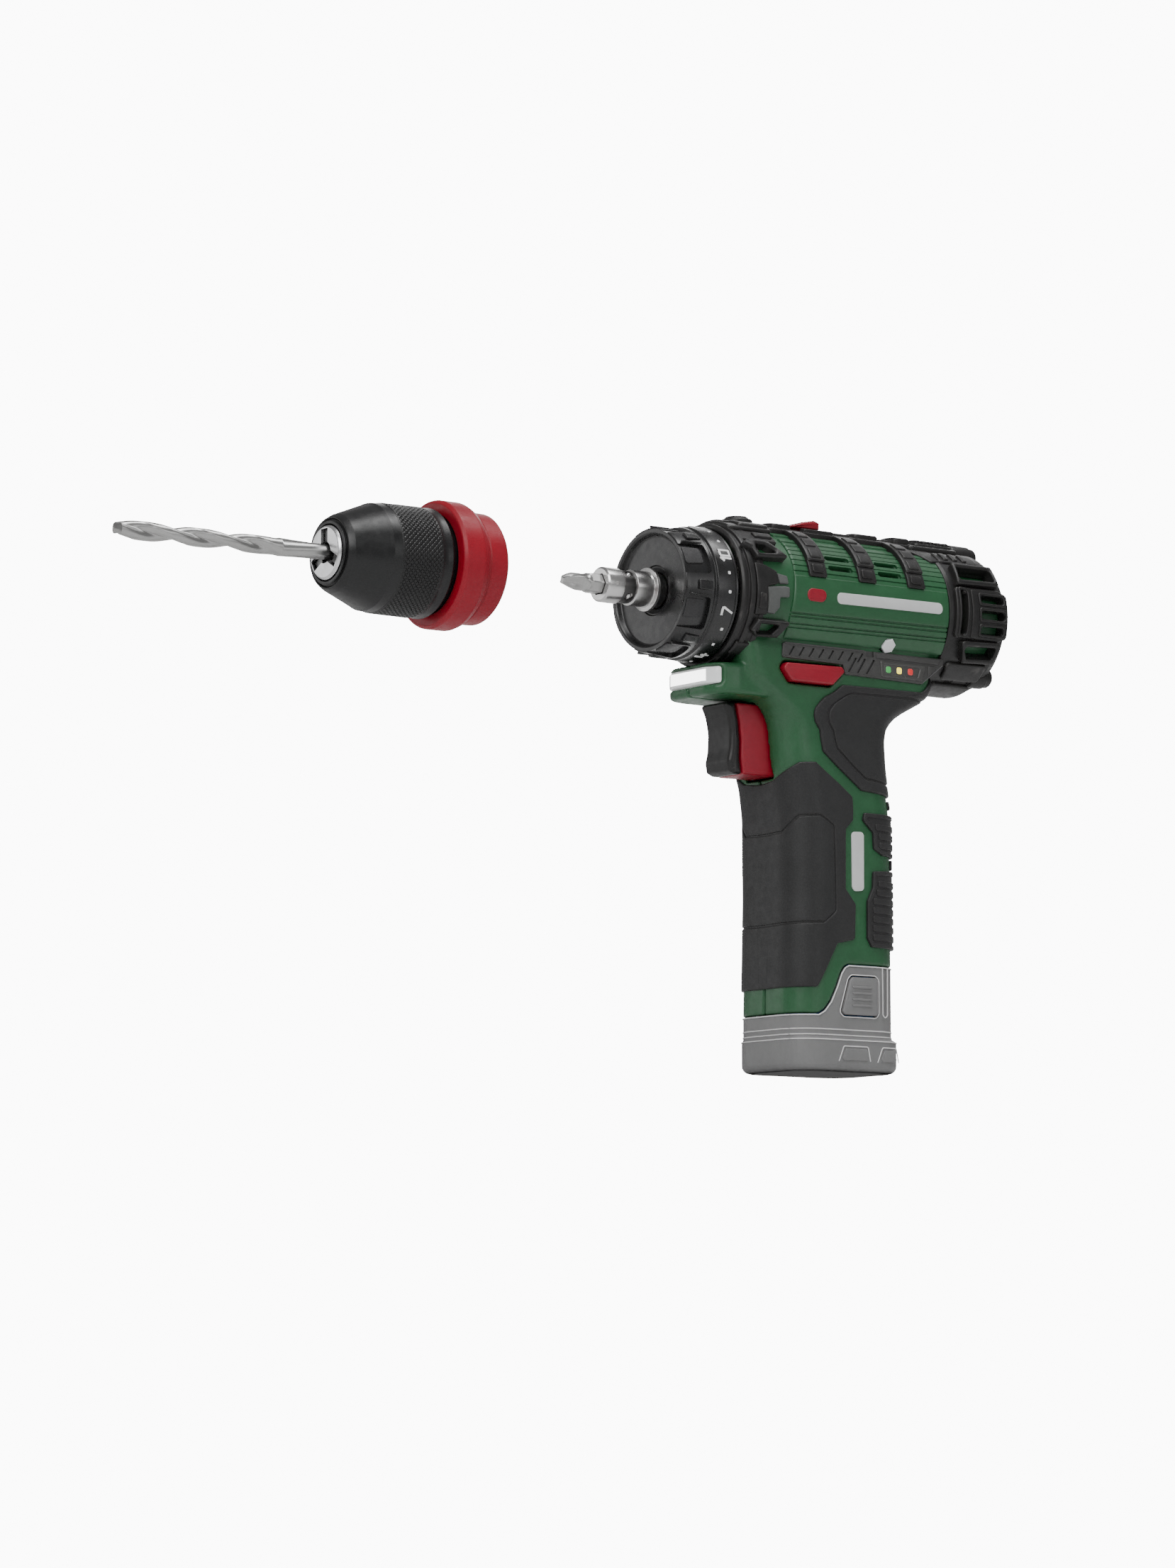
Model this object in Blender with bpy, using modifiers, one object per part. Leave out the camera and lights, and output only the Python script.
"""Compact cordless drill with a quick-change keyless chuck pulled off in front of its nose.

Metres, +Z up. The origin is the centre of the battery's flat underside, the nose points
along -X and the left side along -Y. The named sizes below are in millimetres, in that same
frame, and the helpers turn them into metres.
"""

import math

import bmesh
import bpy
from mathutils import Matrix, Vector

MM = 0.001
GAP = 0.3                      # clearance between neighbouring pieces

# Drill axis, along X.
AXIS_Z = 162.0
AXIS = (0.0, 0.0, AXIS_Z)
FACETS = 28                    # facets round the barrel
FACET = 360.0 / FACETS

# Barrel of the housing.
BARREL_R = 24.5
BARREL_BORE_R = 21.2
BARREL_NOSE_X, BARREL_SHOULDER_X = -49.4, -40.6
BARREL_STEP_X, BARREL_END_X = 38.0, 62.0
BARREL_NECK_R = 22.4
WALL = 1.8

# Grip sections from the bottom lip up into the barrel:
# height, front x, back x, half width, corner radius.
GRIP_SECTIONS = [
    (19.4, -23.2, 23.2, 18.9, 11.0),
    (60.0, -22.4, 23.4, 18.9, 11.5),
    (88.0, -22.6, 23.1, 18.9, 11.5),
    (98.0, -24.2, 21.9, 18.5, 11.5),
    (105.0, -26.4, 21.0, 18.0, 11.0),
    (115.0, -27.4, 20.2, 17.8, 10.5),
    (120.0, -28.2, 20.8, 17.8, 10.0),
    (124.0, -31.0, 24.0, 18.0, 9.0),
    (127.0, -35.0, 29.0, 18.2, 8.0),
    (130.0, -39.5, 35.0, 18.6, 7.0),
    (134.0, -43.5, 38.2, 19.0, 6.0),
    (145.0, -45.0, 38.2, 19.3, 5.0),
    (150.0, -45.0, 38.2, 17.5, 5.0),
]
PAD_INNER, PAD_OUTER = 0.3, 1.0

# Chin under the torque collar, with the work light in its front.
CHIN_FRONT_X, CHIN_BACK_X = -55.6, -27.0
CHIN_LOW_Z, CHIN_HIGH_Z = 126.6, 137.6
CHIN_FRONT_HALF, CHIN_BACK_HALF = 9.0, 16.5
LENS_LOW_Z, LENS_HIGH_Z, LENS_BACK_X = 130.2, 136.2, -51.6

# Torque collar and the clutch behind its face.
COLLAR_FRONT_X, COLLAR_FACE_X, COLLAR_REAR_X = -72.0, -69.8, -51.2
COLLAR_FRONT_R, COLLAR_REAR_R, COLLAR_HOLE_R = 21.3, 23.3, 8.6
SPRING_R, SPRING_WIRE_R = 15.0, 1.1
SPRING_FRONT_X, SPRING_REAR_X, SPRING_TURNS = -64.5, -42.0, 4

# Two-stage planetary gearbox.
MODULE = 0.85
SUN_TEETH, PLANET_TEETH, RING_TEETH = 12, 12, 36
PLANET_ORBIT = MODULE * (SUN_TEETH + PLANET_TEETH) / 2
ADDENDUM, DEDENDUM = 0.60, 0.85
PLANETS = 3
PIN_R = 1.9
CASE_FRONT_X, CASE_WALL_X, CASE_REAR_X = -66.5, -40.0, 0.0
CASE_R, CASE_BORE_R, NOSE_R, NOSE_BORE_R = 20.5, 18.9, 11.8, 9.6
BEARING_R, BEARING_BORE_R = 9.3, 6.4
CARRIER_R = 13.2
STAGE_1 = (-8.0, -2.0)         # planets beside the motor
STAGE_2 = (-19.2, -13.0)       # planets that drive the spindle

# Spindle with its bit holder.
HOLDER_FRONT_X, HOLDER_R = -93.0, 6.1
BIT_TIP_X, BIT_END_X = -108.4, -83.4
SOCKET_END_X = -82.9

# Motor.
MOTOR_FRONT_X, MOTOR_R, CAN_END_X, MOTOR_END_X = 1.8, 18.0, 46.0, 54.0
SHAFT_R = 1.6

# Trigger and direction selector.
TRIGGER_HALF = 7.4
PUSHER_HALF = 21.2

# Battery pack.
CELL_R, CELL_LENGTH, CELL_BASE_Z, CELL_PITCH = 8.9, 65.0, 5.6, 18.1
PACK_X = 0.9                   # the pack's centre, which is the grip's centre
PACK_STEP_Z, PACK_LIP_Z, PACK_WING_Z = 11.4, 19.0, 36.3
BLADE_YS = (-7.0, 0.0, 7.0)    # the three contact blades

# Keyless chuck, in its place in front of the nose.
CHUCK_NOSE_X, CHUCK_REAR_X = -206.5, -142.4
CHUCK_BODY_R = 13.2
JAW_SLANT = math.radians(15.0)
JAWS, JAW_LENGTH, JAW_THICK, JAW_WIDE, JAW_TIP_R = 3, 17.5, 4.0, 3.2, 3.45
DRILL_R, DRILL_TIP_X, DRILL_FLUTE_X, DRILL_END_X = 3.0, -282.5, -217.0, -186.5
DRILL_LEAD = 34.0

LOOKS = {
    "housing": ((0.020, 0.095, 0.045), 0.45, 0.0),
    "soft_black": ((0.016, 0.016, 0.017), 0.62, 0.0),
    "grip_rubber": ((0.035, 0.035, 0.037), 0.7, 0.0),
    "collar": ((0.014, 0.014, 0.015), 0.35, 0.0),
    "red": ((0.30, 0.014, 0.025), 0.38, 0.0),
    "steel": ((0.55, 0.55, 0.57), 0.28, 1.0),
    "dark_steel": ((0.16, 0.16, 0.17), 0.35, 1.0),
    "sleeve": ((0.020, 0.020, 0.021), 0.4, 0.0),
    "nylon": ((0.42, 0.42, 0.40), 0.5, 0.0),
    "bronze": ((0.60, 0.40, 0.16), 0.35, 1.0),
    "battery": ((0.17, 0.17, 0.18), 0.5, 0.0),
    "cell": ((0.05, 0.16, 0.40), 0.4, 0.0),
    "lens": ((0.90, 0.92, 0.95), 0.08, 0.0),
    "window": ((0.05, 0.05, 0.05), 0.15, 0.0),
    "white": ((0.80, 0.80, 0.80), 0.4, 0.0),
    "board": ((0.02, 0.16, 0.07), 0.5, 0.0),
}


# ---------------------------------------------------------------- scene set-up

def clear_scene():
    for obj in list(bpy.data.objects):
        bpy.data.objects.remove(obj, do_unlink=True)


def new_collection(name):
    collection = bpy.data.collections.new(name)
    bpy.context.scene.collection.children.link(collection)
    return collection


clear_scene()
DRILL = new_collection("cordless_drill")
CUTTERS = new_collection("cutters")
MATERIALS = {}


def material(name):
    if name not in MATERIALS:
        colour, roughness, metallic = LOOKS[name]
        made = bpy.data.materials.new(name)
        made.use_nodes = True
        shader = made.node_tree.nodes["Principled BSDF"]
        shader.inputs["Base Color"].default_value = (*colour, 1.0)
        shader.inputs["Roughness"].default_value = roughness
        shader.inputs["Metallic"].default_value = metallic
        MATERIALS[name] = made
    return MATERIALS[name]


def place(name, mesh, look, at):
    """Put a mesh in the scene. With no look it is a helper that only cuts or joins."""
    obj = bpy.data.objects.new(name, mesh)
    obj.location = Vector(at) * MM
    if look:
        mesh.materials.append(material(look))
        DRILL.objects.link(obj)
    else:
        CUTTERS.objects.link(obj)
        obj.hide_render = True
        obj.display_type = "WIRE"
    return obj


def from_bmesh(name, bm, look, at):
    """Make an object from world coordinates in millimetres, with its origin at `at`."""
    bmesh.ops.recalc_face_normals(bm, faces=bm.faces)
    if bm.calc_volume(signed=True) < 0:
        bmesh.ops.reverse_faces(bm, faces=bm.faces)
    bmesh.ops.translate(bm, verts=bm.verts, vec=-Vector(at))
    bmesh.ops.scale(bm, verts=bm.verts, vec=(MM, MM, MM))
    mesh = bpy.data.meshes.new(name)
    bm.to_mesh(mesh)
    bm.free()
    mesh.shade_smooth()
    mesh.set_sharp_from_angle(angle=math.radians(30))
    return place(name, mesh, look, at)


def evaluated_mesh(obj):
    graph = bpy.context.evaluated_depsgraph_get()
    return bpy.data.meshes.new_from_object(obj.evaluated_get(graph))


def settled_mesh(obj):
    """The object's shape with its modifiers done, welded, and with flat areas made whole."""
    mesh = evaluated_mesh(obj)
    bm = bmesh.new()
    bm.from_mesh(mesh)
    bmesh.ops.remove_doubles(bm, verts=bm.verts, dist=0.02 * MM)
    bmesh.ops.dissolve_degenerate(bm, edges=bm.edges, dist=0.01 * MM)
    bmesh.ops.dissolve_limit(bm, angle_limit=math.radians(0.3), verts=bm.verts, edges=bm.edges)
    bmesh.ops.triangulate(bm, faces=[face for face in bm.faces if len(face.verts) > 4])
    bm.to_mesh(mesh)
    bm.free()
    return mesh


# ---------------------------------------------------------------- shapes

TURN = {"X": (0, math.pi / 2, 0), "Y": (-math.pi / 2, 0, 0), "Z": (0, 0, 0)}


def turned(name, profile, look, axis="X", at=AXIS, steps=FACETS, ring=False):
    """A turned shape: (distance along the axis, radius) points, spun by a Screw modifier."""
    area = sum(a[1] * b[0] - b[1] * a[0] for a, b in zip(profile, profile[1:] + profile[:1]))
    points = profile if area < 0 else profile[::-1]
    verts = [(radius * MM, 0, along * MM) for along, radius in points]
    edges = [(i, i + 1) for i in range(len(points) - 1)]
    if ring:
        edges.append((len(points) - 1, 0))
    mesh = bpy.data.meshes.new(name)
    mesh.from_pydata(verts, edges, [])
    obj = place(name, mesh, look, at)
    obj.rotation_euler = TURN[axis]
    screw = obj.modifiers.new("turn", "SCREW")
    screw.axis = "Z"
    screw.angle = 2 * math.pi
    screw.steps = screw.render_steps = steps
    screw.use_merge_vertices = True
    screw.merge_threshold = 0.00001
    screw.use_smooth_shade = False
    return obj


SIDE = {
    "X": Matrix(((0, 0, 1), (1, 0, 0), (0, 1, 0))).to_4x4(),
    "Y": Matrix(((1, 0, 0), (0, 0, -1), (0, 1, 0))).to_4x4(),
    "Z": Matrix.Identity(4),
}


def prism(name, outline, low, high, look, axis="Y", at=(0, 0, 0), holes=()):
    """A flat outline with thickness: (x, z), (y, z) or (x, y) points for axis Y, X or Z."""
    curve = bpy.data.curves.new(name, "CURVE")
    curve.dimensions = "2D"
    curve.fill_mode = "BOTH"
    curve.extrude = (high - low) / 2 * MM
    for loop in (outline, *holes):
        spline = curve.splines.new("POLY")
        spline.points.add(len(loop) - 1)
        for point, (a, b) in zip(spline.points, loop):
            point.co = (a * MM, b * MM, 0, 1)
        spline.use_cyclic_u = True
    holder = bpy.data.objects.new(name + "_curve", curve)
    CUTTERS.objects.link(holder)
    bm = bmesh.new()
    bm.from_mesh(evaluated_mesh(holder))
    bpy.data.objects.remove(holder, do_unlink=True)
    bmesh.ops.remove_doubles(bm, verts=bm.verts, dist=0.00001)
    bmesh.ops.scale(bm, verts=bm.verts, vec=(1 / MM, 1 / MM, 1 / MM))
    bm.transform(SIDE[axis])
    middle = (low + high) / 2
    shift = {"X": (middle, 0, 0), "Y": (0, middle, 0), "Z": (0, 0, middle)}[axis]
    bmesh.ops.translate(bm, verts=bm.verts, vec=shift)
    return from_bmesh(name, bm, look, at)


def box(name, low, high, look, at=(0, 0, 0), bevel=0.0):
    bm = bmesh.new()
    bmesh.ops.create_cube(bm, size=1.0)
    size = [b - a for a, b in zip(low, high)]
    bmesh.ops.scale(bm, verts=bm.verts, vec=size)
    bmesh.ops.translate(bm, verts=bm.verts, vec=[(a + b) / 2 for a, b in zip(low, high)])
    obj = from_bmesh(name, bm, look, at)
    if bevel:
        soften(obj, bevel)
    return obj


def rod(name, start, end, radius, look, at=(0, 0, 0), sides=16, turn=0.0):
    """A straight cylinder between two points; with few sides it is a hexagonal bar."""
    start, end = Vector(start), Vector(end)
    bm = bmesh.new()
    bmesh.ops.create_cone(bm, cap_ends=True, segments=sides, radius1=radius, radius2=radius,
                          depth=(end - start).length)
    rotation = (end - start).to_track_quat("Z", "Y").to_matrix().to_4x4()
    bm.transform(Matrix.Translation((start + end) / 2) @ rotation @ Matrix.Rotation(turn, 4, "Z"))
    return from_bmesh(name, bm, look, at)


def arc_block(name, x_range, r_range, degrees, look):
    """A block that wraps the drill axis between two angles, counted from straight up to the left."""
    (x0, x1), (r0, r1), (a0, a1) = x_range, r_range, degrees
    bm = bmesh.new()
    corners = [bm.verts.new((x, 0, r)) for x, r in ((x0, r0), (x1, r0), (x1, r1), (x0, r1))]
    face = bm.faces.new(corners)
    bmesh.ops.rotate(bm, verts=bm.verts, matrix=Matrix.Rotation(math.radians(a0), 3, "X"))
    steps = max(1, round((a1 - a0) / FACET))
    bmesh.ops.spin(bm, geom=[face, *face.edges, *face.verts], axis=(1, 0, 0), cent=(0, 0, 0),
                   angle=math.radians(a1 - a0), steps=steps)
    bmesh.ops.translate(bm, verts=bm.verts, vec=AXIS)
    return from_bmesh(name, bm, look, AXIS)


def loft(name, rings, look, at=(0, 0, 0)):
    """A closed solid through equal rings of points, with a flat cap at each end."""
    bm = bmesh.new()
    rows = [[bm.verts.new(point) for point in ring] for ring in rings]
    count = len(rows[0])
    for low, high in zip(rows, rows[1:]):
        for i in range(count):
            j = (i + 1) % count
            bm.faces.new((low[i], low[j], high[j], high[i]))
    bm.faces.new(rows[0][::-1])
    bm.faces.new(rows[-1])
    return from_bmesh(name, bm, look, at)


def soften(obj, width, segments=2, angle=40):
    bevel = obj.modifiers.new("bevel", "BEVEL")
    bevel.width = width * MM
    bevel.segments = segments
    bevel.limit_method = "ANGLE"
    bevel.angle_limit = math.radians(angle)
    return obj


def combine(target, tool, operation):
    modifier = target.modifiers.new(operation.lower(), "BOOLEAN")
    modifier.operation = operation
    modifier.object = tool
    modifier.solver = "EXACT"
    return target


def cut(target, *tools):
    for tool in tools:
        combine(target, tool, "DIFFERENCE")
    return target


def join(target, *tools):
    for tool in tools:
        combine(target, tool, "UNION")
    return target


def on_axis(x, radius, degrees):
    """A point at an angle from straight up, turning towards the left side (-Y)."""
    angle = math.radians(degrees)
    return (x, -radius * math.sin(angle), AXIS_Z + radius * math.cos(angle))


def rounded_rectangle(front, back, half, radius, corner_points=4):
    points = []
    for cx, cy, start in ((back - radius, half - radius, 0), (front + radius, half - radius, 90),
                          (front + radius, -half + radius, 180), (back - radius, -half + radius, 270)):
        for i in range(corner_points):
            angle = math.radians(start + 90 * i / (corner_points - 1))
            points.append((cx + radius * math.cos(angle), cy + radius * math.sin(angle)))
    return points


def grip_solid(name, offset, low_z=None, high_z=None):
    """The grip's form, grown or shrunk all round, optionally with its ends moved."""
    rings = []
    for z, front, back, half, radius in GRIP_SECTIONS:
        section = rounded_rectangle(front - offset, back + offset, half + offset, radius + offset)
        rings.append([(x, y, z) for x, y in section])
    if low_z is not None:
        rings[0] = [(x, y, low_z) for x, y, _ in rings[0]]
    if high_z is not None:
        rings[-1] = [(x, y, high_z) for x, y, _ in rings[-1]]
    return loft(name, rings, None)


# ---------------------------------------------------------------- gears

def gear_outline(teeth, module=MODULE, turn=0.0, inside=False):
    """Plain trapezoid teeth, four points each, thin enough to run with backlash."""
    pitch_r = module * teeth / 2
    step = 2 * math.pi / teeth
    tip_r = pitch_r - ADDENDUM if inside else pitch_r + ADDENDUM
    root_r = pitch_r + DEDENDUM if inside else pitch_r - DEDENDUM
    root_share, tip_share = 0.22, 0.11
    points = []
    for i in range(teeth):
        middle = turn + i * step
        for radius, share in ((root_r, -root_share), (tip_r, -tip_share),
                              (tip_r, tip_share), (root_r, root_share)):
            angle = middle + share * step
            points.append((radius * math.cos(angle), radius * math.sin(angle)))
    return points


def circle(radius, count, centre=(0.0, 0.0)):
    return [(centre[0] + radius * math.cos(2 * math.pi * i / count),
             centre[1] + radius * math.sin(2 * math.pi * i / count)) for i in range(count)]


def lifted(points, y=0.0, z=AXIS_Z):
    return [(a + y, b + z) for a, b in points]


def planet_centre(index):
    angle = 2 * math.pi * index / PLANETS
    return PLANET_ORBIT * math.cos(angle), AXIS_Z + PLANET_ORBIT * math.sin(angle)


def make_planets(stage, x_range):
    """Three planets. Each has a gap towards its sun and a gap towards the ring."""
    for index in range(PLANETS):
        y, z = planet_centre(index)
        towards = 2 * math.pi * index / PLANETS
        turn = towards + math.pi / PLANET_TEETH
        teeth = lifted(gear_outline(PLANET_TEETH, turn=turn), y, z)
        bore = circle(PIN_R + GAP, 10, (y, z))
        prism(f"planet_{stage}{'abc'[index]}", teeth, *x_range, "steel", "X", (0, y, z), [bore])


def make_ring_gear(name, x_range, outer_r):
    teeth = lifted(gear_outline(RING_TEETH, inside=True))
    outer = lifted(circle(outer_r, 24))
    return prism(name, outer, *x_range, "nylon", "X", AXIS, [teeth])


def carrier_pins(target, x_range):
    for index in range(PLANETS):
        y, z = planet_centre(index)
        join(target, rod(f"{target.name}_pin_{index}", (x_range[0], y, z), (x_range[1], y, z),
                         PIN_R, None, sides=10))


def make_gearbox():
    case = turned("gearbox_case", [
        (CASE_FRONT_X, NOSE_BORE_R), (CASE_FRONT_X, NOSE_R), (CASE_WALL_X, NOSE_R),
        (CASE_WALL_X, CASE_R), (CASE_REAR_X, CASE_R), (CASE_REAR_X, CASE_BORE_R),
        (-36.5, CASE_BORE_R), (-36.5, 13.0), (-30.0, 13.0), (-30.0, NOSE_BORE_R),
    ], "nylon", ring=True)
    cut(case, box("yoke_slot", (-21.5, -4.0, 175.0), (CASE_REAR_X + 1, 4.0, 190.0), None))
    for name, front, rear in (("spindle_bearing_front", -65.0, -57.0),
                              ("spindle_bearing_rear", -39.0, -31.0)):
        turned(name, [(front, BEARING_BORE_R), (front, BEARING_R), (rear, BEARING_R),
                      (rear, BEARING_BORE_R)], "bronze", steps=16, ring=True)
    make_ring_gear("ring_gear", (-8.2, -1.4), 18.5)
    speed_ring = make_ring_gear("speed_ring_gear", (STAGE_2[0] + 0.4, STAGE_2[1] + 0.4), 18.2)
    cut(speed_ring, rod("yoke_pin_hole", (-16.0, 0, 178.5), (-16.0, 0, 183.0), 1.5, None, sides=8))
    make_planets(1, STAGE_1)
    make_planets(2, STAGE_2)
    front, rear = STAGE_1[0] - 3.2, STAGE_1[0] - GAP
    carrier = turned("planet_carrier", [(front, 0), (front, CARRIER_R), (rear, CARRIER_R), (rear, 0)],
                     "dark_steel", steps=20)
    join(carrier, prism("sun_on_carrier", lifted(gear_outline(SUN_TEETH)), STAGE_2[0] + 0.2, front + 0.5,
                        None, "X", AXIS))
    carrier_pins(carrier, (rear - 1.0, STAGE_1[1] + 0.2))


def make_clutch():
    turned("torque_collar", [
        (COLLAR_FRONT_X, COLLAR_FRONT_R - 1.6), (COLLAR_FRONT_X, COLLAR_FRONT_R - 0.5),
        (COLLAR_FRONT_X + 0.5, COLLAR_FRONT_R), (-61.0, COLLAR_REAR_R - 0.9), (-53.0, COLLAR_REAR_R),
        (COLLAR_REAR_X, COLLAR_REAR_R), (COLLAR_REAR_X, 20.4), (COLLAR_FACE_X + 2.5, 19.6),
        (COLLAR_FACE_X + 2.5, COLLAR_HOLE_R), (COLLAR_FACE_X, COLLAR_HOLE_R),
        (COLLAR_FACE_X, COLLAR_FRONT_R - 2.0),
    ], "collar", steps=26, ring=True)
    make_spring()


def make_spring():
    curve = bpy.data.curves.new("clutch_spring", "CURVE")
    curve.dimensions = "3D"
    curve.bevel_depth = SPRING_WIRE_R * MM
    curve.bevel_resolution = 0
    curve.use_fill_caps = True
    per_turn = 10
    count = SPRING_TURNS * per_turn
    spline = curve.splines.new("POLY")
    spline.points.add(count)
    for i, point in enumerate(spline.points):
        angle = 2 * math.pi * i / per_turn
        x = SPRING_FRONT_X + (SPRING_REAR_X - SPRING_FRONT_X) * i / count
        point.co = (x * MM, SPRING_R * math.cos(angle) * MM, SPRING_R * math.sin(angle) * MM, 1)
    curve.materials.append(material("steel"))
    obj = bpy.data.objects.new("clutch_spring", curve)
    obj.location = Vector(AXIS) * MM
    DRILL.objects.link(obj)
    weld = obj.modifiers.new("weld", "WELD")
    weld.merge_threshold = 0.00001


def make_spindle():
    """Bit holder, shaft and the second stage's carrier in one piece."""
    spindle = turned("spindle", [
        (HOLDER_FRONT_X, 0), (HOLDER_FRONT_X, HOLDER_R - 0.8), (HOLDER_FRONT_X + 0.8, HOLDER_R),
        (-86.5, HOLDER_R), (-86.2, 5.4), (-80.3, 5.4), (-80.0, HOLDER_R), (-75.0, HOLDER_R),
        (-74.6, 7.5), (-71.8, 7.5), (-71.4, 6.0), (-29.5, 6.0), (-29.5, 5.0),
        (-23.5, 5.0), (-23.5, CARRIER_R), (-19.7, CARRIER_R), (-19.7, 0),
    ], "steel", steps=16)
    cut(spindle, rod("hex_socket", (HOLDER_FRONT_X - 1, 0, AXIS_Z), (SOCKET_END_X, 0, AXIS_Z), 4.0,
                     None, sides=6))
    hole_count = 4
    for i in range(hole_count):
        degrees = 45 + 360 / hole_count * i
        cut(spindle, rod(f"detent_hole_{i}", on_axis(-81.2, 4.9, degrees), on_axis(-81.2, 8.0, degrees),
                         1.1, None, sides=8))
    carrier_pins(spindle, (-20.5, STAGE_2[1] + 0.2))


def make_bit():
    hexagon_end_x, neck_x = -97.5, -100.0
    bit = rod("screwdriver_bit", (hexagon_end_x, 0, AXIS_Z), (BIT_END_X, 0, AXIS_Z), 3.66, "steel",
              AXIS, sides=6)
    join(bit, turned("bit_tip", [(hexagon_end_x + 0.5, 0), (hexagon_end_x + 0.5, 3.1), (neck_x, 3.1),
                                 (-106.5, 1.9), (BIT_TIP_X, 0.5), (BIT_TIP_X, 0)], None, steps=16))


# ---------------------------------------------------------------- motor

def make_motor():
    turned("motor_can", [
        (MOTOR_FRONT_X, 5.2), (MOTOR_FRONT_X, MOTOR_R - 1), (MOTOR_FRONT_X + 1, MOTOR_R),
        (CAN_END_X, MOTOR_R), (CAN_END_X, MOTOR_R - 2.0), (MOTOR_FRONT_X + 2.2, MOTOR_R - 2.0),
        (MOTOR_FRONT_X + 2.2, 5.2),
    ], "steel", steps=20, ring=True)
    turned("motor_end_cap", [
        (CAN_END_X + GAP, MOTOR_R - 2.5), (CAN_END_X + GAP, MOTOR_R), (MOTOR_END_X - 1, MOTOR_R),
        (MOTOR_END_X, MOTOR_R - 1), (MOTOR_END_X, 2.0), (MOTOR_END_X - 2.5, 2.0),
        (MOTOR_END_X - 2.5, MOTOR_R - 2.5),
    ], "sleeve", steps=24, ring=True)
    poles = []
    pole_count = 5
    for i in range(pole_count):
        middle = 2 * math.pi * i / pole_count
        for radius, share in ((7.0, -0.30), (12.4, -0.30), (12.6, -0.44), (14.6, -0.42), (14.9, 0.0),
                              (14.6, 0.42), (12.6, 0.44), (12.4, 0.30), (7.0, 0.30)):
            angle = middle + share * 2 * math.pi / pole_count
            poles.append((radius * math.cos(angle), radius * math.sin(angle)))
    armature = prism("motor_armature", lifted(poles), 8.0, 38.0, "dark_steel", "X", AXIS)
    shaft = turned("motor_shaft", [(-8.3, 0), (-8.3, SHAFT_R), (5.5, SHAFT_R), (5.5, 4.2), (41.0, 4.2),
                                   (41.0, 5.6), (50.0, 5.6), (50.0, SHAFT_R), (55.6, SHAFT_R),
                                   (55.6, 0)], None, steps=16)
    join(armature, shaft)
    pinion = lifted(gear_outline(SUN_TEETH))
    bore = lifted(circle(SHAFT_R + GAP, 12))
    prism("motor_pinion", pinion, STAGE_1[0] + 0.3, STAGE_1[1] + 0.4, "steel", "X", AXIS, [bore])


# ---------------------------------------------------------------- housing

SCREWS = [(-44.5, 131.8), (31.0, 134.0), (-14.0, 95.5), (13.0, 93.4)]
SCREW_HEAD_Y, SCREW_TIP_Y = 16.4, -6.0


def chin_outline(grow=0.0):
    front = CHIN_FRONT_X - grow
    steps = 6
    corner = 6.0
    points = [(CHIN_BACK_X, CHIN_BACK_HALF + grow)]
    half = CHIN_FRONT_HALF + corner - 1.0 + grow
    points += [(front + corner - corner * math.sin(math.radians(90 * i / steps)),
                half - corner + corner * math.cos(math.radians(90 * i / steps)))
               for i in range(steps + 1)]
    return points + [(x, -y) for x, y in reversed(points)]


def pack_edge(clearance=0.0):
    """The line on the sides where battery and housing meet, raised by a clearance."""
    curve = [(-14.2, 19.0), (-11.6, 20.4), (-8.8, 23.6), (-6.2, 28.6), (-4.2, 33.4), (-2.6, 35.6),
             (-1.0, PACK_WING_Z)]
    points = [(-40.0, PACK_LIP_Z + clearance)]
    points += [(x - 0.7 * clearance, z + clearance) for x, z in curve]
    points.append((40.0, PACK_WING_Z + clearance))
    return points


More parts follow.
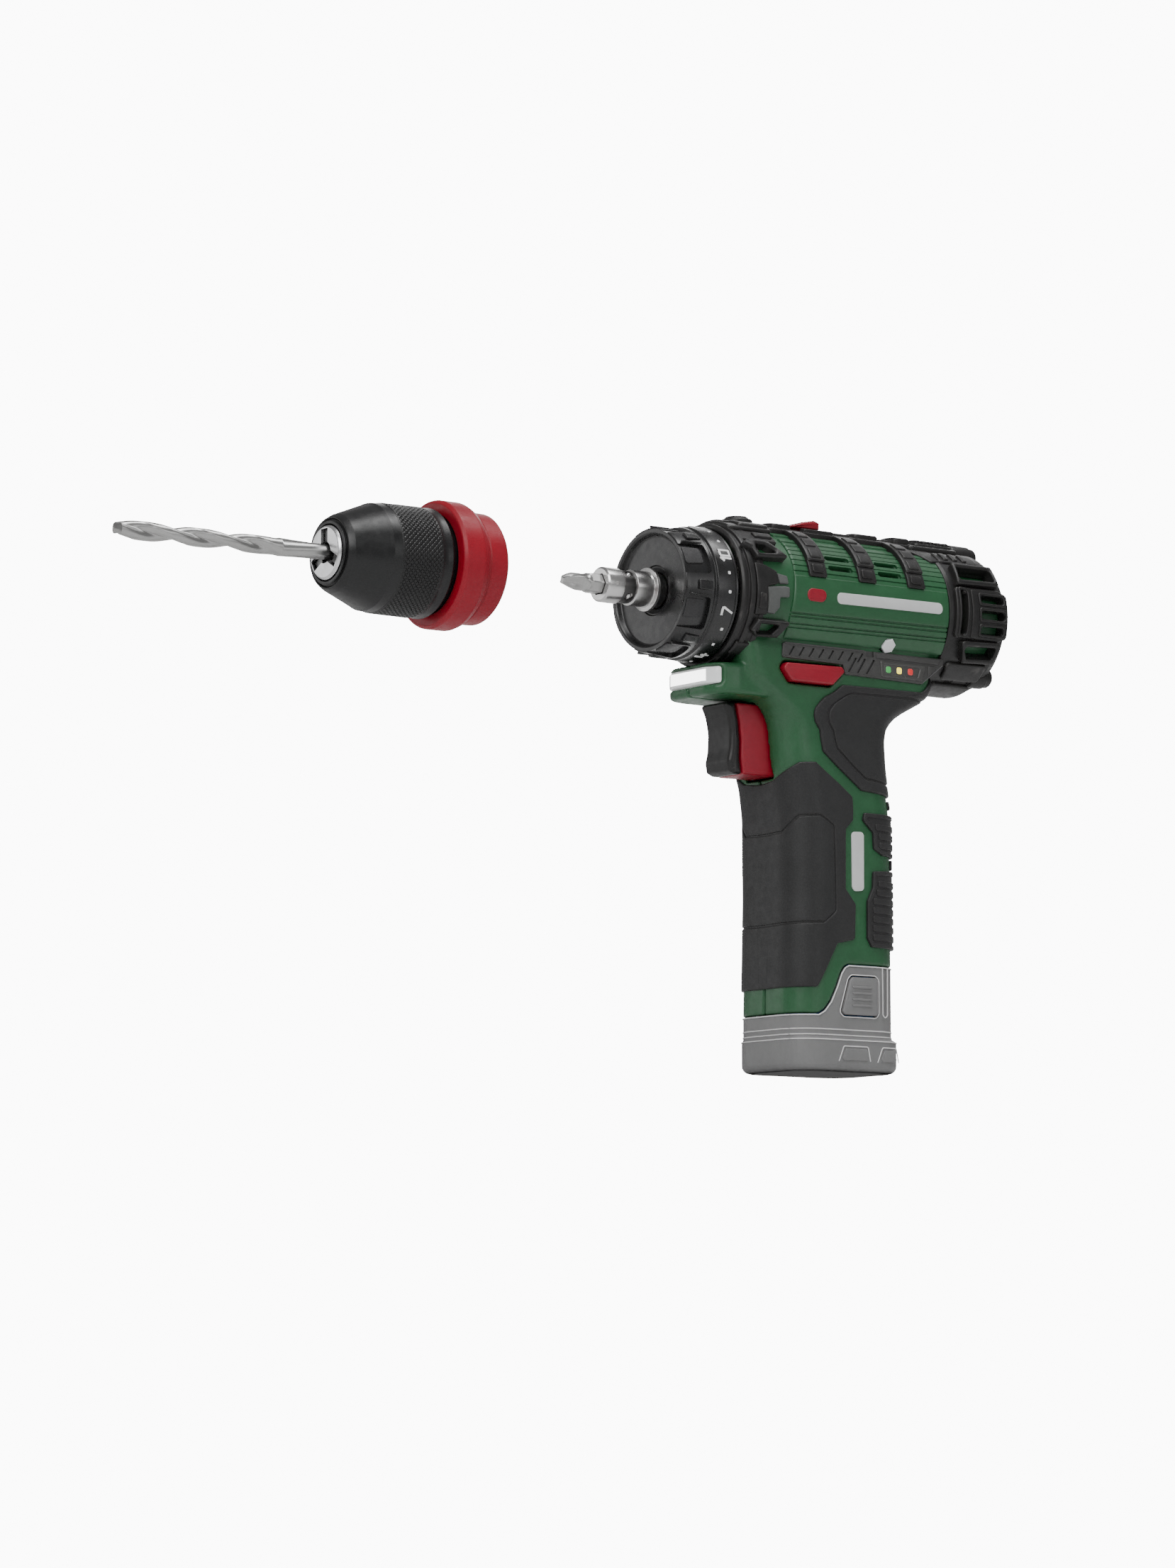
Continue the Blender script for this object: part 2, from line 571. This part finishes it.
def housing_shell():
    shell = turned("housing_shell", [
        (BARREL_NOSE_X, 0), (BARREL_NOSE_X, BARREL_NECK_R), (BARREL_SHOULDER_X, BARREL_NECK_R),
        (BARREL_SHOULDER_X, BARREL_R), (BARREL_STEP_X, BARREL_R), (BARREL_STEP_X, BARREL_NECK_R),
        (BARREL_END_X, BARREL_NECK_R), (BARREL_END_X, 0),
    ], None)
    join(shell, grip_solid("grip_outside", 0.0))
    join(shell, prism("chin", chin_outline(), CHIN_LOW_Z, CHIN_HIGH_Z, None, "Z"))
    hollow = turned("barrel_bore", [
        (BARREL_NOSE_X - 2, 0), (BARREL_NOSE_X - 2, BARREL_BORE_R), (35.0, BARREL_BORE_R),
        (35.5, 20.5), (BARREL_END_X - 2.2, 20.5), (BARREL_END_X - 2.2, 0)], None, steps=28)
    cut(shell, grip_solid("grip_inside", -WALL, low_z=10.0), hollow)
    for index, (x, z) in enumerate(SCREWS[1:]):
        join(shell, rod(f"boss_{index}", (x, -17.2, z), (x, 17.2, z), 3.0, None, sides=12))
    cut(shell, prism("pack_gap", pack_edge(0.4) + [(40.0, 0.0), (-40.0, 0.0)], -30, 30, None))
    cut(shell, box("trigger_slot", (-70.0, -TRIGGER_HALF - 0.4, 100.2),
                   (-15.0, TRIGGER_HALF + 0.4, 125.9), None))
    cut(shell, prism("pusher_hole", pusher_outline(0.4), -30, 30, None))
    cut(shell, box("lens_pocket", (-60, -20, LENS_LOW_Z - GAP),
                   (LENS_BACK_X + GAP, 20, LENS_HIGH_Z + GAP), None))
    cut(shell, box("selector_slot", (-11.0, -4.6, 175.0), (2.0, 4.6, 195.0), None))
    cut(shell, box("indicator_pocket", (13.7, -25.0, 137.3), (33.3, -18.2, 142.5), None))
    button_start, button_end = on_axis(16.2, 19.0, 124.4), on_axis(16.2, 28.0, 124.4)
    cut(shell, rod("button_hole", button_start, button_end, 3.1, None, sides=6))
    for index, (x, z) in enumerate(SCREWS):
        cut(shell, rod(f"screw_hole_{index}", (x, SCREW_TIP_Y - 1, z), (x, 40, z), 1.65, None, sides=12),
            rod(f"counterbore_{index}", (x, SCREW_HEAD_Y - GAP, z), (x, 40, z), 3.2, None, sides=16))
    for index, (x, y, z) in enumerate(rear_screw_points(BARREL_END_X)):
        cut(shell, rod(f"end_hole_{index}", (x - 8, y, z), (x + 8, y, z), 1.7, None, sides=10))
    return shell


def make_housing():
    shell = housing_shell()
    mesh = settled_mesh(shell)
    turned_frame = shell.matrix_basis.copy()
    for side, keep in (("left", -1), ("right", 1)):
        half = place(f"housing_{side}", mesh.copy(), "housing", AXIS)
        half.matrix_basis = turned_frame
        near, far = sorted((keep * GAP / 2, -keep * 60.0))
        cut(half, box(f"{side}_split", (-120, near, -20), (120, far, 220), None))
    bpy.data.objects.remove(shell, do_unlink=True)


def make_screws():
    for index, (x, z) in enumerate(SCREWS, start=1):
        screw = turned(f"housing_screw_{index}", [
            (SCREW_TIP_Y, 0), (SCREW_TIP_Y + 1.2, 1.3), (SCREW_HEAD_Y, 1.3), (SCREW_HEAD_Y, 2.8),
            (SCREW_HEAD_Y + 1.4, 2.8), (SCREW_HEAD_Y + 1.9, 2.2), (SCREW_HEAD_Y + 1.9, 0),
        ], "dark_steel", "Y", (x, 0, z), steps=9)
        cut(screw, rod(f"screw_drive_{index}", (x, SCREW_HEAD_Y + 0.8, z), (x, SCREW_HEAD_Y + 4, z), 1.4,
                       None, sides=6))


RAIL_FRONT_X, RAIL_END_X = -26.8, 61.5
BUMPER_END_X, BUMPER_R = 68.5, 26.3
REAR_SCREW_RING_R = 16.0       # how far the rear screws sit from the drill axis
REAR_SCREWS = {"top": 0.0, "left": 120.0, "right": -120.0}
KNOBS = [(71.5, 23.6, 0.0), (69.5, 22.0, 152.0), (69.5, 22.0, -152.0)]    # end x, ring radius, angle
KNOB_R = 4.2


def rear_screw_points(x):
    return [on_axis(x, REAR_SCREW_RING_R, degrees) for degrees in REAR_SCREWS.values()]


def make_rear_bumper():
    inner = BARREL_NECK_R + 0.4
    bumper = turned("rear_bumper", [
        (BARREL_END_X + 0.5, 0), (BARREL_END_X + 0.5, inner), (BARREL_STEP_X + 0.4, inner),
        (BARREL_STEP_X + 0.4, 25.2), (41.5, BUMPER_R), (63.6, BUMPER_R), (67.0, 24.4),
        (BUMPER_END_X, 21.0), (BUMPER_END_X, 0)], "soft_black")
    for end_x, ring_r, degrees in KNOBS:
        join(bumper, rod(f"knob_{degrees:g}", on_axis(RAIL_END_X + 0.5, ring_r, degrees),
                         on_axis(end_x, ring_r, degrees), KNOB_R, None, sides=16))
    for side in (-1, 1):
        near, far = sorted((side * 21.5, side * 40))
        for index, z in enumerate((155.8, 161.2, 166.6)):
            cut(bumper, box(f"slot_{side}_{index}", (52.8, near, z - 1.35), (64.4, far, z + 1.35), None))
        cut(bumper, box(f"upright_slot_{side}", (44.4, near, 153.2), (47.6, far, 169.6), None))
        for middle in (58.0, 120.0):
            cut(bumper, arc_block(f"loop_{side}_{middle:g}", (48.0, 60.0), (21.0, 30.0),
                                  sorted((side * (middle - 5.0), side * (middle + 5.0))), None))
    for name, (x, y, z) in zip(REAR_SCREWS, rear_screw_points(BUMPER_END_X)):
        cut(bumper, rod(f"bumper_hole_{name}", (50, y, z), (x - 2.8, y, z), 1.7, None, sides=10),
            rod(f"bumper_sink_{name}", (x - 3.0, y, z), (x + 10, y, z), 3.1, None, sides=14))
        screw = turned(f"bumper_screw_{name}", [
            (BARREL_END_X - 5, 0), (BARREL_END_X - 4, 1.3), (x - 2.6, 1.3), (x - 2.6, 2.7),
            (x - 1.0, 2.5), (x - 1.0, 0)], "dark_steel", "X", (0, y, z), steps=9)
        cut(screw, rod(f"bumper_drive_{name}", (x - 2.0, y, z), (x + 10, y, z), 1.3, None, sides=6))


def make_nose_bumper():
    bumper = turned("nose_bumper", [
        (-50.6, BARREL_NECK_R + 0.4), (-50.6, 24.3), (-49.6, 25.1), (-42.4, 25.6), (-41.0, 25.6),
        (-41.0, BARREL_NECK_R + 0.4)], "soft_black", ring=True)
    base_r = BARREL_R + 0.4
    for side in (-1, 1):
        for low, high in ((45, 72), (108, 135)):
            arm = sorted((side * low, side * high))
            window = sorted((side * (low + 7.7), side * (high - 7.4)))
            join(bumper, arc_block(f"arm_{side}_{low}", (-42.0, -29.0), (base_r, 26.3), arm, None))
            cut(bumper, arc_block(f"window_{side}_{low}", (-38.6, -31.4), (20.0, 30.0), window, None))
    join(bumper, arc_block("nose_crest", (-42.5, -27.5), (base_r, 27.2), (-27, 27), None))
    cut(bumper, grip_solid("nose_room", 0.4),
        prism("chin_room", chin_outline(0.4), CHIN_LOW_Z - 0.4, CHIN_HIGH_Z + 0.4, None, "Z"))
    join(bumper, rod("nose_boss", (-33.2, 0, AXIS_Z + 26.0), (-33.2, 0, AXIS_Z + 28.8), 4.2, None,
                     sides=16))


STRAP_WIDTH, STRAP_PITCH, FIRST_STRAP_X, STRAPS = 7.2, 21.8, -21.0, 3


def make_top_rail():
    base_r = BARREL_R + 0.4
    rail = arc_block("top_rail", (RAIL_FRONT_X, 37.0), (base_r, 27.2), (-18, 18), "soft_black")
    join(rail, arc_block("rail_step", (35.0, 37.8), (base_r + 0.03, 28.1), (-17.9, 17.9), None),
         arc_block("rail_rear", (36.5, RAIL_END_X), (26.7, 28.2), (-18, 18), None))
    for index in range(STRAPS):
        front = FIRST_STRAP_X + index * STRAP_PITCH
        join(rail, arc_block(f"strap_{index}", (front, front + STRAP_WIDTH), (base_r + 0.05, 26.3),
                             (-72, 72), None))
    for index, x in enumerate((18.5, 30.0)):
        join(rail, arc_block(f"rail_rib_{index}", (x, x + 5.0), (26.0, 28.4), (-9, 9), None))
    cut(rail, box("rail_slot", (-10.6, -4.4, 183.0), (1.6, 4.4, 195.0), None))


def make_speed_selector():
    """Thumb slider on the rail, with a yoke bar that reaches the sliding ring gear."""
    selector = box("speed_selector", (-9.0, -4.0, 182.4), (-3.0, 4.0, 190.6), "red",
                   (-6.0, 0, AXIS_Z + 20))
    join(selector, box("selector_bar", (-18.3, -3.4, AXIS_Z + 18.95), (-2.4, 3.4, AXIS_Z + 20.6), None),
         rod("yoke_pin", (-16.0, 0, AXIS_Z + 17.4), (-16.0, 0, AXIS_Z + 19.5), 1.1, None, sides=8))
    for index, x in enumerate((-7.6, -6.0, -4.4)):
        cut(selector, box(f"thumb_groove_{index}", (x - 0.35, -9, 190.0), (x + 0.35, 9, 192.0), None))


# ---------------------------------------------------------------- rubber pads

FRONT_PAD = [(-40, 28.5), (-15.0, 28.5), (-6.6, 43.8), (1.2, 45.4), (1.6, 57.7), (-2.4, 62.6),
             (-2.4, 83.4), (0.8, 86.4), (0.8, 94.4), (-13.6, 105.2), (-19.0, 104.6), (-40, 91.5)]
PALM_PAD = [(-3.0, 132.4), (-12.2, 127.0), (-12.6, 117.0), (-11.0, 109.4), (4.9, 97.2), (45, 96.6),
            (45, 132.4)]
UPPER_PAD = [(9.6, 88.8), (9.2, 84.8), (13.4, 79.5), (13.6, 72.6), (45, 70.8), (45, 88.8)]
LOWER_PAD = [(13.6, 67.4), (10.6, 60.0), (10.4, 47.0), (14.0, 41.6), (45, 41.6), (45, 67.4)]


def make_pads():
    """Soft pads: the skin between two sizes of the grip's form, inside an outline seen from the side."""
    for name, outline in (("grip_front_pad", FRONT_PAD), ("palm_rest", PALM_PAD),
                          ("grip_upper_pad", UPPER_PAD), ("grip_lower_pad", LOWER_PAD)):
        pad = prism(name, outline, -32, 32, "grip_rubber", "Y", (PACK_X, 0, 70))
        combine(pad, grip_solid(f"{name}_outside", PAD_OUTER), "INTERSECT")
        cut(pad, grip_solid(f"{name}_inside", PAD_INNER, low_z=5.0, high_z=170.0))
    x, z = SCREWS[2]
    cut(bpy.data.objects["grip_front_pad"],
        rod("pad_screw_hole", (x, 8, z), (x, 40, z), 3.3, None, sides=12))
    cut(bpy.data.objects["palm_rest"], turned("palm_barrel_room", [
        (-60, 0), (-60, BARREL_R + 0.4), (BARREL_STEP_X + 0.2, BARREL_R + 0.4),
        (BARREL_STEP_X + 0.2, 27.0), (80, 27.0), (80, 0)], None))


# ---------------------------------------------------------------- controls in the grip

def pusher_outline(grow=0.0):
    x_low, x_high, z_low, z_high = -30.0 - grow, -3.0 + grow, 132.4 - grow, 139.0 + grow
    corner_z = 137.4
    return [(x_low, corner_z), (x_low + 2.2, z_high), (x_high - 3.0, z_high), (x_high, corner_z),
            (x_high - 5.4, z_low), (x_low + 3.8, z_low)]


def make_controls():
    front = [(-45.4, 125.4), (-43.2, 121.5), (-42.0, 116.0), (-42.3, 110.0), (-43.3, 105.6),
             (-42.6, 102.2), (-40.4, 100.7)]
    seam = [(-38.8, 100.7), (-39.8, 105.6), (-39.0, 110.0), (-38.8, 116.0), (-39.8, 121.5),
            (-41.4, 125.4)]
    pad = prism("trigger_pad", front + seam, -TRIGGER_HALF, TRIGGER_HALF, "soft_black", "Y", (-30, 0, 113))
    soften(pad, 1.0)
    back = [(x + GAP, z) for x, z in reversed(seam)]
    body = back + [(-33.0, 100.7), (-29.6, 103.0), (-21.0, 104.5), (-21.0, 125.4)]
    trigger = prism("trigger", body, -TRIGGER_HALF, TRIGGER_HALF, "red", "Y", (-30, 0, 113))
    join(trigger, rod("plunger", (-22.0, 0, 117.0), (-9.5, 0, 117.0), 2.0, None, sides=10))
    switch = box("switch_module", (-14.6, -8.0, 103.0), (13.0, 8.0, 128.0), "sleeve")
    cut(switch, rod("plunger_hole", (-16.0, 0, 117.0), (-2.4, 0, 117.0), 2.5, None, sides=10))
    prism("direction_selector", pusher_outline(), -PUSHER_HALF, PUSHER_HALF, "red", "Y",
          (-16.5, 0, 135.7))
    lens = prism("work_light_lens", chin_outline(0.2), LENS_LOW_Z, LENS_HIGH_Z, "lens", "Z",
                 (-50, 0, 133))
    cut(lens, box("lens_trim", (LENS_BACK_X, -30, 120), (0, 30, 145), None))
    box("charge_indicator", (14.0, -19.9, 137.6), (33.0, -18.5, 142.2), "window", (23.5, -19, 140))
    rod("charge_button", on_axis(16.2, 22.0, 124.4), on_axis(16.2, 25.3, 124.4), 2.75, "white",
        on_axis(16.2, 24.5, 124.4), sides=6)
    box("control_board", (-13.0, -12.0, 98.6), (9.5, 12.0, 100.2), "board")
    contacts = box("contact_block", (-10.4, -10.0, 88.5), (8.0, 10.0, 96.5), "soft_black")
    for index, y in enumerate(BLADE_YS):
        join(contacts, box(f"blade_{index}", (-6.0, y - 0.5, 79.0), (4.0, y + 0.5, 90.0), None))


# ---------------------------------------------------------------- battery pack

def make_battery():
    base = rounded_rectangle(-23.6, 25.2, 19.6, 11.5)
    tier = rounded_rectangle(-23.2, 23.2, 18.9, 11.0)
    case = loft("battery_case", [
        [(x * 0.97, y * 0.96, 0.0) for x, y in base], [(x, y, 2.2) for x, y in base],
        [(x, y, PACK_STEP_Z) for x, y in base], [(x, y, PACK_STEP_Z + 0.5) for x, y in tier],
        [(x, y, PACK_WING_Z) for x, y in tier]], "battery", (0, 0, 0))
    bay = rounded_rectangle(-23.2 + WALL, 23.2 - WALL, 18.9 - WALL, 11.0 - WALL)
    bay_top_z = 60.0
    cut(case, loft("cell_bay", [[(x, y, CELL_BASE_Z - GAP) for x, y in bay],
                                [(x, y, bay_top_z) for x, y in bay]], None))
    cut(case, prism("lip_cut", pack_edge()[:-1] + [(-1.0, bay_top_z), (-40.0, bay_top_z)],
                    -30, 30, None))
    cut(case, prism("button_window", button_outline(0.4), -30, 30, None))
    for name, side in (("left", -1), ("right", 1)):
        make_battery_button(name, side)
    make_cells()


def make_battery_button(name, side):
    low, high = sorted((side * 18.35, side * 19.85))
    button = prism(f"battery_button_{name}", button_outline(), low, high, "battery", "Y",
                   (3.4, side * 19, 25.7))
    rib_low, rib_high = sorted((side * 19.4, side * 20.3))
    rib_front_x, rib_back_x, rib_height, rib_pitch = -0.4, 8.2, 0.8, 2.1
    for index in range(4):
        z = 22.2 + rib_pitch * index
        join(button, box(f"rib_{name}_{index}", (rib_front_x, rib_low, z),
                         (rib_back_x, rib_high, z + rib_height), None))


def make_cells():
    """Three cells in a triangle, and the moulded cap above them that plugs into the tool."""
    reach = CELL_PITCH * math.sqrt(3) / 4
    centre_x = PACK_X - 1
    centres = [(centre_x - CELL_PITCH / 2, -reach), (centre_x + CELL_PITCH / 2, -reach),
               (centre_x, reach)]
    top_z = CELL_BASE_Z + CELL_LENGTH
    for index, (x, y) in enumerate(centres, start=1):
        turned(f"battery_cell_{index}", [
            (CELL_BASE_Z, 0), (CELL_BASE_Z, CELL_R), (top_z - 2, CELL_R), (top_z - 1.2, 4.0),
            (top_z, 4.0), (top_z, 0)], "cell", "Z", (x, y, 0), steps=16)
    cap = rounded_rectangle(-19.9, 20.5, 16.6, 9.4, 4)
    head = loft("battery_tower_cap", [
        [(x, y, top_z + GAP) for x, y in cap], [(x, y, top_z + 12.0) for x, y in cap],
        [(x * 0.94, y * 0.93, top_z + 14.0) for x, y in cap]], "battery", (0, 0, 78))
    for index, y in enumerate(BLADE_YS):
        cut(head, box(f"contact_slot_{index}", (-7.0, y - 1.1, 78.0), (5.0, y + 1.1, 90.0), None))


def button_outline(grow=0.0):
    return [(-4.4 - grow, 20.4 - grow), (-3.2 - grow, 19.4 - grow), (10.6 + grow, 19.4 - grow),
            (11.3 + grow, 20.4 - grow), (11.3 + grow, 31.4 + grow), (10.4 + grow, 32.4 + grow),
            (0.2 - grow, 32.4 + grow), (-1.0 - grow, 31.2 + grow)]


# ---------------------------------------------------------------- chuck

def make_chuck():
    body = turned("chuck_body", [
        (CHUCK_NOSE_X, 3.5), (CHUCK_NOSE_X, 8.2), (CHUCK_NOSE_X + 0.8, 9.0), (-201.0, 9.0),
        (-190.5, 12.6), (-188.0, CHUCK_BODY_R), (CHUCK_REAR_X - 0.2, CHUCK_BODY_R),
        (CHUCK_REAR_X - 0.2, 8.3), (-166.2, 8.3), (-167.5, 4.8), (-183.0, 4.8), (-183.6, 3.5),
    ], "dark_steel", steps=18, ring=True)
    tip = Matrix.Translation((CHUCK_NOSE_X + 0.6, 0, AXIS_Z))
    slant = Matrix.Translation((0, 0, JAW_TIP_R)) @ Matrix.Rotation(-JAW_SLANT, 4, "Y")
    for index in range(JAWS):
        frame = tip @ Matrix.Rotation(2 * math.pi * index / JAWS, 4, "X") @ slant
        jaw = jaw_block(f"chuck_jaw_{index + 1}", frame, 0.0, JAW_LENGTH, 0.0, "steel")
        cut(jaw, box(f"jaw_nose_{index + 1}", (-230, -20, 140), (CHUCK_NOSE_X + 0.3, 20, 190), None))
        cut(body, jaw_block(f"jaw_slot_{index + 1}", frame, -4.0, JAW_LENGTH + 5.0, GAP, None))
    turned("chuck_sleeve", [
        (-205.2, 9.5), (-205.2, 11.0), (-204.6, 11.6), (-199.6, 13.7), (-193.0, 15.6), (-183.5, 17.8),
        (-181.5, 18.2), (-164.9, 18.4), (-164.2, 18.0), (-164.2, 16.4), (-161.4, 16.4),
        (-161.4, CHUCK_BODY_R + 0.4), (-188.2, CHUCK_BODY_R + 0.4), (-190.9, 13.0), (-201.2, 9.5),
    ], "sleeve", steps=24, ring=True)
    turned("chuck_lock_ring", [
        (-162.2, 16.9), (-162.2, 20.6), (-161.4, 21.4), (-151.6, 21.4), (-149.6, 19.4), (-149.0, 18.6),
        (-143.2, 18.6), (CHUCK_REAR_X, 17.8), (CHUCK_REAR_X, CHUCK_BODY_R + 0.5),
        (-159.4, CHUCK_BODY_R + 0.5), (-159.4, 16.9),
    ], "red", steps=24, ring=True)


def jaw_block(name, frame, start, end, grow, look):
    """A jaw, or the room for it, lying along its slanted slide."""
    bm = bmesh.new()
    bmesh.ops.create_cube(bm, size=1.0)
    bmesh.ops.scale(bm, verts=bm.verts, vec=(end - start, JAW_WIDE + 2 * grow, JAW_THICK + 2 * grow))
    bmesh.ops.translate(bm, verts=bm.verts, vec=((start + end) / 2, 0, JAW_THICK / 2))
    bm.transform(frame)
    return from_bmesh(name, bm, look, AXIS)


def make_twist_drill():
    """A plain shank, two helical flutes and a conical point."""
    count, flute_depth = 12, 0.52
    section = []
    for i in range(count):
        angle = 2 * math.pi * i / count
        land = 0.5 - 0.5 * math.cos(2 * (angle - math.pi / 2))
        section.append((1.0 - flute_depth * (1.0 - land) ** 2, angle))
    steps, run_out_length, web_r = 16, 8.0, 0.5
    shoulder_x = DRILL_TIP_X + 1.8
    rings = [[drill_point(DRILL_TIP_X, depth, angle, 1.0, web_r) for depth, angle in section]]
    for k in range(steps + 1):
        x = shoulder_x + (DRILL_FLUTE_X - shoulder_x) * k / steps
        fluted = min(1.0, (DRILL_FLUTE_X - x) / run_out_length)
        rings.append([drill_point(x, depth, angle, fluted, DRILL_R) for depth, angle in section])
    rings.append([(DRILL_END_X, y, z) for _, y, z in rings[-1]])
    loft("twist_drill", rings, "steel", (-235, 0, AXIS_Z))


def drill_point(x, depth, angle, fluted, radius):
    """A point of the drill's section at x, turned by the helix and as deep as the flutes are there."""
    twist = 2 * math.pi * (x - DRILL_TIP_X) / DRILL_LEAD
    reach = radius * (1.0 - fluted * (1.0 - depth))
    return (x, reach * math.cos(angle + twist), AXIS_Z + reach * math.sin(angle + twist))


make_housing()
make_screws()
make_rear_bumper()
make_nose_bumper()
make_top_rail()
make_pads()
make_gearbox()
make_clutch()
make_spindle()
make_bit()
make_motor()
make_speed_selector()
make_controls()
make_battery()
make_chuck()
make_twist_drill()
